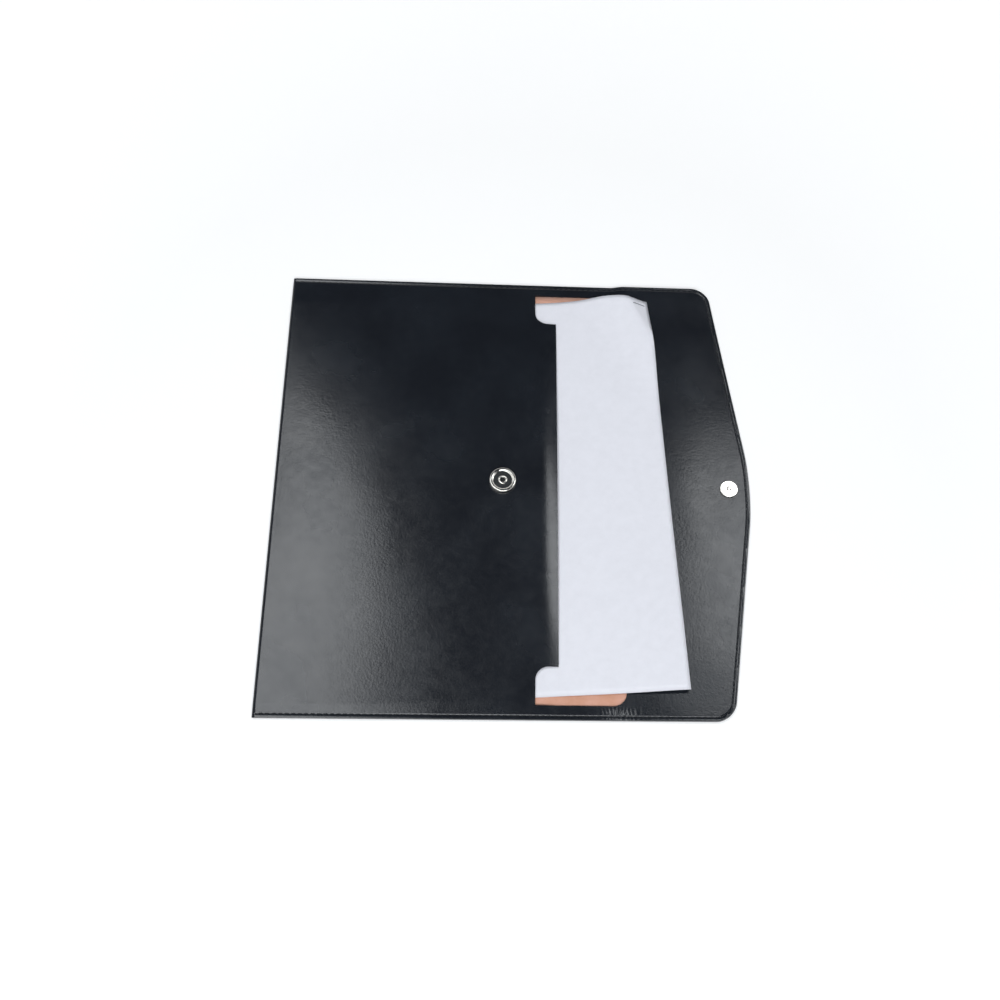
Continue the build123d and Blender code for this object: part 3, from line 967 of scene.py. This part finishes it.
class WALLET_OT_staple(bpy.types.Operator):
    """Bend the wire staple through the sheets' far corner"""

    bl_idname = "wallet.staple"
    bl_label = "Staple"

    def execute(self, context):
        sizes = context.scene.wallet_sizes
        wire, length = sizes.staple_wire, sizes.staple_length
        from_outer_edge, from_far_edge, bend = 2.4 * MM, 4.6 * MM, 0.45 * MM
        outer = -from_outer_edge - wire / 2
        inner = outer - length + wire
        v = sizes.sheet_length - from_far_edge
        top = SHEETS_HIGH - SHEETS_LOW + wire / 2
        bm = bmesh.new()
        seat = Matrix.Translation((inner, v, 0))
        ring = bmesh.ops.create_circle(bm, segments=8, radius=wire / 2, matrix=seat)["verts"]
        loop = list({edge for vert in ring for edge in vert.link_edges})
        loop = self.push(bm, loop, (0, 0, top - bend))
        loop = self.turn(bm, loop, (inner + bend, v, top - bend))
        loop = self.push(bm, loop, (outer - inner - 2 * bend, 0, 0))
        loop = self.turn(bm, loop, (outer - bend, v, top - bend))
        self.push(bm, loop, (0, 0, bend - top))
        bmesh.ops.holes_fill(bm, edges=[edge for edge in bm.edges if edge.is_boundary], sides=8)
        close_up(bm)
        for vert in bm.verts:
            vert.co = paper_point(sizes, *vert.co)
        steel = painted(galvanised_staple_wire, context.scene.wallet_colours)
        piece = finish_piece("staple_wire", bm, steel)
        slip_back(piece)
        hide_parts("staple")
        return {"FINISHED"}

    def push(self, bm, loop, move):
        """Extrudes the wire's end straight on."""
        made = bmesh.ops.extrude_edge_only(bm, edges=loop)["geom"]
        bmesh.ops.translate(bm, vec=move, verts=new_verts(made))
        return [edge for edge in new_edges(made) if all(vert in made for vert in edge.verts)]

    def turn(self, bm, loop, centre):
        """Spins the wire's end through a right angle."""
        made = bmesh.ops.spin(bm, geom=loop, cent=centre, axis=(0, 1, 0), angle=math.pi / 2, steps=4)
        return new_edges(made["geom_last"])


class WALLET_OT_hidden_parts(bpy.types.Operator):
    """Finish the snap's hidden parts, which keep the solids' shapes"""

    bl_idname = "wallet.hidden_parts"
    bl_label = "Hidden parts"

    def execute(self, context):
        finishes = {
            "socket_magnet": sintered_ferrite,
            "socket_base": zinc_plated_steel,
            "socket_washer": zinc_plated_steel,
            "stud_washer": zinc_plated_steel,
            "socket_patch": polished_black_cowhide,
        }
        for name, paint in finishes.items():
            mesh = frame["nodes"][name].data
            mesh.materials.clear()
            mesh.materials.append(painted(paint, context.scene.wallet_colours))
        return {"FINISHED"}


class WALLET_OT_stage(bpy.types.Operator):
    """Set the camera, the white floor and sweep, and the soft lights"""

    bl_idname = "wallet.stage"
    bl_label = "Stage"

    def execute(self, context):
        scene = context.scene
        scene.view_settings.view_transform = "Standard"
        self.set_camera(scene)
        self.lay_floor(scene)
        self.hang_lights(scene)
        return {"FINISHED"}

    def set_camera(self, scene):
        camera = bpy.data.cameras.new("photo_camera")
        camera.lens = 45.01
        camera.sensor_width = 36
        camera.shift_x = -0.06
        camera.clip_start = 0.01
        camera.clip_end = 50
        holder = bpy.data.objects.new("photo_camera", camera)
        holder.location = (-23.42 * MM, -369.2 * MM, 776.78 * MM)
        holder.rotation_euler = [math.radians(angle) for angle in (24.815, -3.794, -0.477)]
        scene.collection.objects.link(holder)
        scene.camera = holder

    def lay_floor(self, scene):
        colours = scene.wallet_colours
        radius, height = 3.0, 1.6
        bm = bmesh.new()
        bmesh.ops.create_circle(bm, cap_ends=True, segments=64, radius=radius)
        floor = finish_piece("floor", bm, painted(matt_white_floor, colours), smooth=False)
        bm = bmesh.new()
        bmesh.ops.create_circle(bm, segments=64, radius=radius)
        made = bmesh.ops.extrude_edge_only(bm, edges=bm.edges[:])["geom"]
        bmesh.ops.translate(bm, vec=(0, 0, height), verts=new_verts(made))
        bmesh.ops.recalc_face_normals(bm, faces=bm.faces)
        bmesh.ops.reverse_faces(bm, faces=bm.faces)
        sweep = finish_piece("sweep", bm, painted(matt_white_sweep, colours))

    def hang_lights(self, scene):
        # Two soft boxes hang over the wallet, one each side of a dark gap, and a large one fills from the
        # front. Each has its name, shape, place, size, tilt and turn in degrees, and power.
        lamps = [
            ("left_box", "ELLIPSE", (-0.47, 0.145, 1.5), (0.48, 1.69), (0, 12), 10.2),
            ("right_box", "RECTANGLE", (0.70, 0.53, 1.5), (0.64, 0.52), (0, 0), 5.8),
            ("front_fill", "RECTANGLE", (0.1, -1.3, 1.3), (1.4, 0.8), (45, 0), 20.4),
        ]
        for name, shape, place, size, (tilt, turn), power in lamps:
            light = bpy.data.lights.new(name, "AREA")
            light.shape = shape
            light.size, light.size_y = size
            light.energy = power
            light.color = (0.955, 0.98, 1.0)
            lamp = bpy.data.objects.new(name, light)
            lamp.location = place
            lamp.rotation_euler = (math.radians(tilt), 0, math.radians(turn))
            lamp.visible_camera = False
            scene.collection.objects.link(lamp)
        world = bpy.data.worlds.new("studio")
        world.use_nodes = True
        world.node_tree.nodes.clear()
        back = add_node(world.node_tree, "ShaderNodeBackground", {
            "Color": (0.75, 0.87, 1.0, 1.0), "Strength": 0.04})
        add_node(world.node_tree, "ShaderNodeOutputWorld", {"Surface": back.outputs[0]})
        scene.world = world


class WALLET_PT_panel(bpy.types.Panel):
    """Lists the wallet's pieces, sizes and colours"""

    bl_idname = "WALLET_PT_panel"
    bl_label = "Document wallet"
    bl_space_type = "VIEW_3D"
    bl_region_type = "UI"
    bl_category = "Wallet"

    def draw(self, context):
        for operator in OPERATORS:
            self.layout.operator(operator.bl_idname)
        for group in (context.scene.wallet_sizes, context.scene.wallet_colours):
            column = self.layout.column()
            for name in group.__annotations__:
                column.prop(group, name)


OPERATORS = [
    WALLET_OT_stage,
    WALLET_OT_outer_leather,
    WALLET_OT_front_leather,
    WALLET_OT_lining,
    WALLET_OT_stitching,
    WALLET_OT_snap,
    WALLET_OT_sheets,
    WALLET_OT_staple,
    WALLET_OT_hidden_parts,
]
CLASSES = [WalletSizes, WalletColours, *OPERATORS, WALLET_PT_panel]


def register():
    for kind in CLASSES:
        bpy.utils.register_class(kind)
    bpy.types.Scene.wallet_sizes = PointerProperty(type=WalletSizes)
    bpy.types.Scene.wallet_colours = PointerProperty(type=WalletColours)


def unregister():
    del bpy.types.Scene.wallet_colours
    del bpy.types.Scene.wallet_sizes
    for kind in reversed(CLASSES):
        bpy.utils.unregister_class(kind)


def main():
    register()
    bpy.ops.wallet.stage()
    bpy.ops.wallet.outer_leather()
    bpy.ops.wallet.front_leather()
    bpy.ops.wallet.lining()
    bpy.ops.wallet.stitching()
    bpy.ops.wallet.snap()
    bpy.ops.wallet.sheets()
    bpy.ops.wallet.staple()
    bpy.ops.wallet.hidden_parts()


if __name__ == "__main__":
    main()
